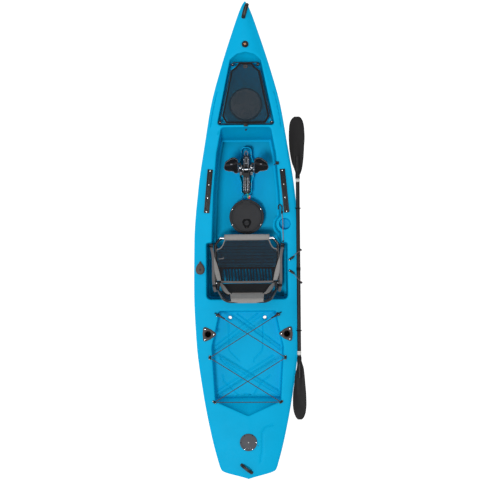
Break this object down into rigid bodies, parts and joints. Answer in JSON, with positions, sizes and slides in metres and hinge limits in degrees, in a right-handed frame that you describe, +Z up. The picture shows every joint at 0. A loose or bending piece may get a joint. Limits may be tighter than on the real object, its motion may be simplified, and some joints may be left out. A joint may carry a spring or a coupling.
{
  "type": "pedal kayak",
  "caption": "Sit-on-top pedal kayak with twin sweeping fins, steered kick-up rudder, framed mesh seat, hatches, cargo wells and a stowed paddle.",
  "frame": {"origin": "the keel's flat amidships, on the centre plane", "axes": "+Y to the bow, +X to starboard, +Z up"},
  "size_m": [0.865, 3.66, 0.934],
  "materials": {
    "moulded_hull": "rotomoulded polyethylene, satin gloss",
    "black_plastic": "glass-filled nylon, fine moulded texture",
    "hatch_plastic": "dark grey moulded nylon",
    "drive_plastic": "glass-filled nylon",
    "stainless": "brushed stainless",
    "seal_rubber": "matt rubber",
    "seat_alloy": "dark powder-coated alloy tube",
    "mesh_fabric": "open woven mesh",
    "grey_fabric": "grey woven polyester",
    "shock_cord": "braided cord",
    "paddle_plastic": "black fibre-filled nylon"
  },
  "bodies": {
    "hull": {"deck_shell": "moulded_hull", "hull_shell": "moulded_hull", "drive_well_trunk": "moulded_hull", "hull_sleeves": "black_plastic", "carry_handles": "black_plastic", "bow_drain_plug": "black_plastic", "hatch_rings": "hatch_plastic", "hatch_seals": "seal_rubber", "centre_hatch_hinge_pin": "stainless", "deck_screws": "stainless", "front_cover_mesh": "mesh_fabric", "front_cover_bungee": "shock_cord", "bungee_anchors": "black_plastic", "accessory_tracks": "black_plastic", "rod_holders": "black_plastic", "cargo_bungee": "shock_cord", "steering_lines": "shock_cord", "rudder_well_cap": "hatch_plastic", "drive_spine": "drive_plastic", "drive_shafts": "stainless", "drive_chains": "stainless", "drive_tether": "shock_cord", "leash_fittings": "black_plastic", "deck_cleats": "black_plastic", "paddle_keeper_cord_front": "shock_cord", "paddle_keeper_cord_rear": "shock_cord", "leash_cord": "shock_cord"},
    "front_lid": {"front_hatch_lid": "hatch_plastic"},
    "centre_lid": {"centre_hatch_lid": "hatch_plastic"},
    "centre_latch": {"centre_hatch_latch": "hatch_plastic"},
    "steering": {"steering_handle": "black_plastic", "steering_shaft": "drive_plastic"},
    "rudder_post": {"rudder_stock": "stainless", "rudder_head": "black_plastic", "rudder_pivot_pin": "stainless"},
    "rudder_fin": {"rudder_blade": "drive_plastic"},
    "crank_p": {"crank_port": "drive_plastic"},
    "crank_s": {"crank_starboard": "drive_plastic"},
    "pedal_p": {"pedal_port": "black_plastic"},
    "pedal_s": {"pedal_starboard": "black_plastic"},
    "fin_f": {"fin_mast_front": "stainless", "fin_blade_front": "seal_rubber"},
    "fin_r": {"fin_mast_rear": "stainless", "fin_blade_rear": "seal_rubber"},
    "lock_p": {"drive_lock_port": "black_plastic"},
    "lock_s": {"drive_lock_starboard": "black_plastic"},
    "seat": {"seat_base_frame": "seat_alloy", "seat_pan_mesh": "mesh_fabric", "seat_front_sleeve": "grey_fabric", "seat_hinge_pins": "stainless", "seat_side_straps": "grey_fabric"},
    "seat_back": {"seat_back_frame": "seat_alloy", "seat_back_mesh": "mesh_fabric", "seat_top_sleeve": "grey_fabric"},
    "paddle_aft": {"paddle_shaft_rear": "paddle_plastic", "paddle_blade_rear": "paddle_plastic", "paddle_drip_ring_rear": "seal_rubber"},
    "paddle_fore": {"paddle_shaft_front": "paddle_plastic", "paddle_blade_front": "paddle_plastic", "paddle_drip_ring_front": "seal_rubber"}
  },
  "joints": [
    {"name": "crank_swing_port", "type": "hinge", "parent": "hull", "child": "crank_p", "pos_m": [0, 0.56, 0.168], "axis": [1, 0, 0], "range_deg": [-28, 28]},
    {"name": "crank_swing_starboard", "type": "hinge", "parent": "hull", "child": "crank_s", "pos_m": [0, 0.56, 0.168], "axis": [1, 0, 0], "range_deg": [-28.5, 28.5]},
    {"name": "fin_sweep_front", "type": "hinge", "parent": "hull", "child": "fin_f", "pos_m": [0, 0.6, 0.006], "axis": [0, 1, 0], "range_deg": [-70.5, 70.5]},
    {"name": "fin_sweep_rear", "type": "hinge", "parent": "hull", "child": "fin_r", "pos_m": [0, 0.432, 0.006], "axis": [0, 1, 0], "range_deg": [-70.5, 70.5]},
    {"name": "pedal_tilt_port", "type": "hinge", "parent": "crank_p", "child": "pedal_p", "pos_m": [-0.116, 0.585, 0.352], "axis": [1, 0, 0], "range_deg": [-20, 20]},
    {"name": "pedal_tilt_starboard", "type": "hinge", "parent": "crank_s", "child": "pedal_s", "pos_m": [0.116, 0.585, 0.352], "axis": [1, 0, 0], "range_deg": [-20, 20]},
    {"name": "drive_lock_turn_port", "type": "hinge", "parent": "hull", "child": "lock_p", "pos_m": [-0.042, 0.528, 0.128], "axis": [0, 0, 1], "range_deg": [0, 60]},
    {"name": "drive_lock_turn_starboard", "type": "hinge", "parent": "hull", "child": "lock_s", "pos_m": [0.042, 0.528, 0.128], "axis": [0, 0, 1], "range_deg": [-60, 0]},
    {"name": "steering_turn", "type": "hinge", "parent": "hull", "child": "steering", "pos_m": [-0.361, -0.226, 0.32], "axis": [0, 0, 1], "range_deg": [-60, 60]},
    {"name": "rudder_turn", "type": "hinge", "parent": "hull", "child": "rudder_post", "pos_m": [0, -1.55, 0.2], "axis": [0, 0, 1], "range_deg": [-29, 29]},
    {"name": "rudder_kick_up", "type": "hinge", "parent": "rudder_post", "child": "rudder_fin", "pos_m": [0, -1.558, 0.006], "axis": [1, 0, 0], "range_deg": [-60, 0]},
    {"name": "front_lid_twist", "type": "hinge", "parent": "hull", "child": "front_lid", "pos_m": [0, 1.059, 0.27], "axis": [0, 0, 1], "range_deg": [0, 60]},
    {"name": "centre_lid_open", "type": "hinge", "parent": "hull", "child": "centre_lid", "pos_m": [0, 0.318, 0.1245], "axis": [1, 0, 0], "range_deg": [-100, 0]},
    {"name": "centre_latch_turn", "type": "hinge", "parent": "centre_lid", "child": "centre_latch", "pos_m": [0, 0.14, 0.13], "axis": [0, 0, 1], "range_deg": [0, 90]},
    {"name": "seat_lift_out", "type": "slide", "parent": "hull", "child": "seat", "axis": [0, 0, 1], "range_m": [0, 0.12]},
    {"name": "seat_back_fold", "type": "hinge", "parent": "seat", "child": "seat_back", "pos_m": [0, -0.332, 0.246], "axis": [1, 0, 0], "range_deg": [-98, 0]},
    {"name": "paddle_slide", "type": "slide", "parent": "hull", "child": "paddle_aft", "axis": [0, 1, 0], "range_m": [0, 0.2]},
    {"name": "paddle_feather", "type": "hinge", "parent": "paddle_aft", "child": "paddle_fore", "pos_m": [0.395, -0.211, 0.348], "axis": [0, 1, 0], "range_deg": [-60, 60]}
  ],
  "couplings": [
    {"joint": "crank_swing_starboard", "follows": "crank_swing_port", "ratio": -1},
    {"joint": "fin_sweep_front", "follows": "crank_swing_port", "ratio": 2.5},
    {"joint": "fin_sweep_rear", "follows": "crank_swing_port", "ratio": -2.5},
    {"joint": "rudder_turn", "follows": "steering_turn", "ratio": 0.4762}
  ]
}
